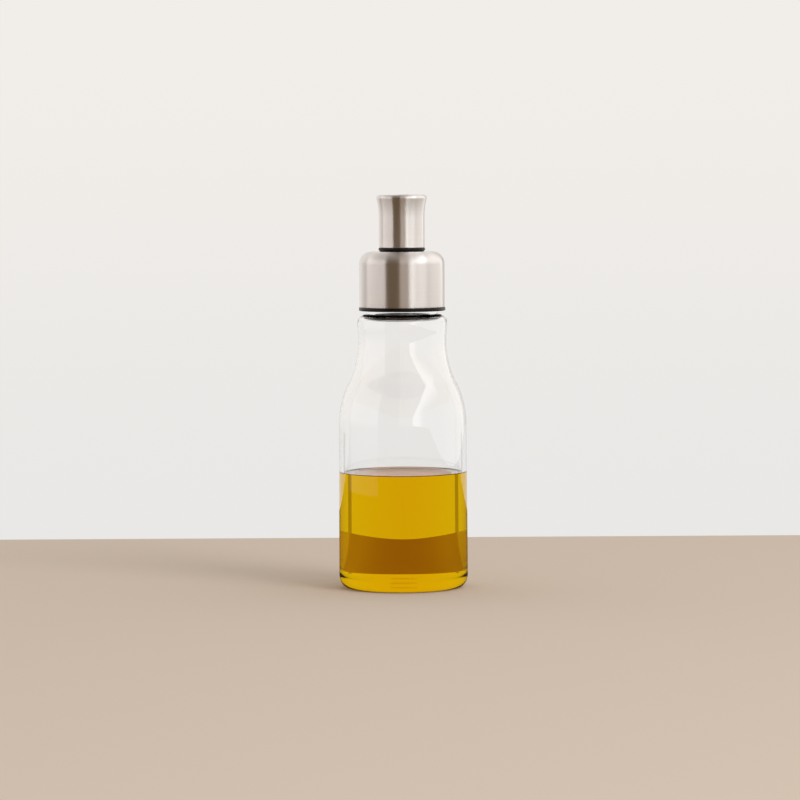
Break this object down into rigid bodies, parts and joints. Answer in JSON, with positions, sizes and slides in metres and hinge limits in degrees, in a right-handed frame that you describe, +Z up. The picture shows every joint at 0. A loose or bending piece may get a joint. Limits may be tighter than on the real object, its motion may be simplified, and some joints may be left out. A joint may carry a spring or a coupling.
{
  "type": "oil dispenser bottle",
  "caption": "Round clear glass oil bottle with a long shoulder, partly full of golden oil, shut by a brushed steel collar and a flared steel cap on black seals.",
  "frame": {"origin": "centre of the foot, on the surface the bottle stands on", "axes": "+Z up along the bottle's axis, towards the cap"},
  "size_m": [0.064, 0.064, 0.1951],
  "materials": {
    "clear_glass": "clear, polished",
    "golden_oil": "clear golden liquid",
    "brushed_steel": "fine satin brush round the axis",
    "black_plastic": "satin",
    "black_silicone": "matte"
  },
  "bodies": {
    "root": {"bottle": "clear_glass", "oil": "golden_oil", "liner": "black_plastic", "collar": "brushed_steel", "seal": "black_silicone", "cap": "brushed_steel"}
  },
  "joints": []
}
